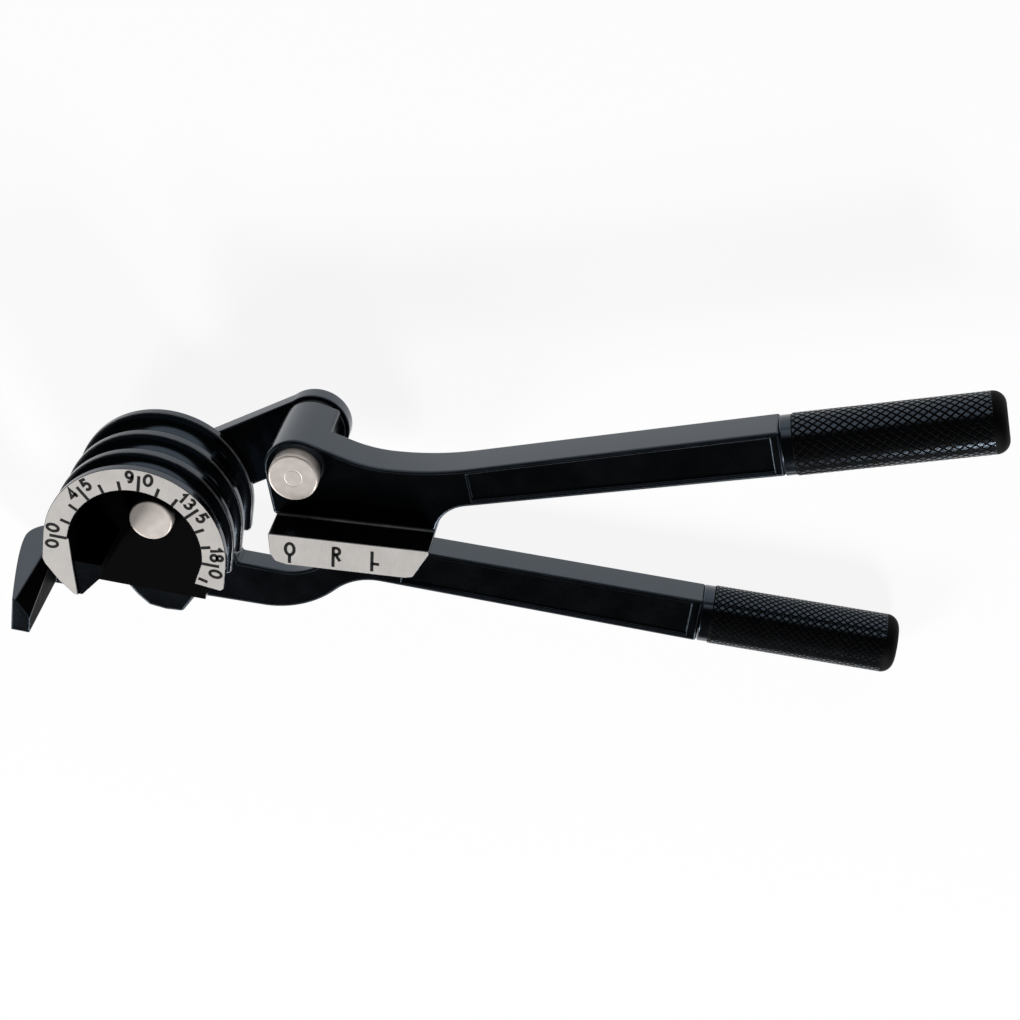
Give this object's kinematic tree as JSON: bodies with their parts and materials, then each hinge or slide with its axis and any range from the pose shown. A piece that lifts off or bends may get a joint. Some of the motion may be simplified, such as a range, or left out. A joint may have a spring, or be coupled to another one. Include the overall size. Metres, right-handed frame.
{
  "type": "tube bender",
  "caption": "Lever tube bender: grooved forming wheel with degree scale and hook on one handle, grooved shoe on a linked second handle, for bending small metal tubes.",
  "frame": {"origin": "on the wheel pin's axis at the pin's tail end, in the plane of the head plate's back", "axes": "+X along the lower handle towards its grip, +Y across it towards the upper handle, +Z along the pins towards the scale face"},
  "size_m": [0.2543, 0.1214, 0.0466],
  "materials": {
    "black": "semi-gloss black, ground bare steel on the scale faces",
    "knurl": "black, diamond knurled",
    "pin": "satin",
    "steel": "satin",
    "bronze": "sintered"
  },
  "bodies": {
    "base": {"lower_handle": "black", "lower_grip": "knurl", "forming_wheel": "black", "wheel_screws": "steel", "wheel_dowels": "steel", "wheel_pin": "pin", "wheel_thrust_washer": "steel", "wheel_rear_washer": "steel", "wheel_pin_ring": "steel"},
    "link": {"link_plate": "black", "link_wheel_bush": "bronze", "link_shoe_bush": "bronze"},
    "upper": {"upper_handle": "black", "upper_grip": "knurl", "forming_shoe": "black", "shoe_dowels": "steel", "shoe_pin": "pin", "shoe_thrust_washer": "steel", "shoe_rear_washer": "steel", "shoe_pin_ring": "steel"}
  },
  "joints": [
    {"name": "link_swing", "type": "hinge", "parent": "base", "child": "link", "pos_m": [0, 0, 0.005], "axis": [0, 0, 1], "range_deg": [-34.7, 145.3]},
    {"name": "shoe_pivot", "type": "hinge", "parent": "link", "child": "upper", "pos_m": [0.03872, 0.02681, 0.005], "axis": [0, 0, 1], "range_deg": [-60.1, 75]}
  ]
}
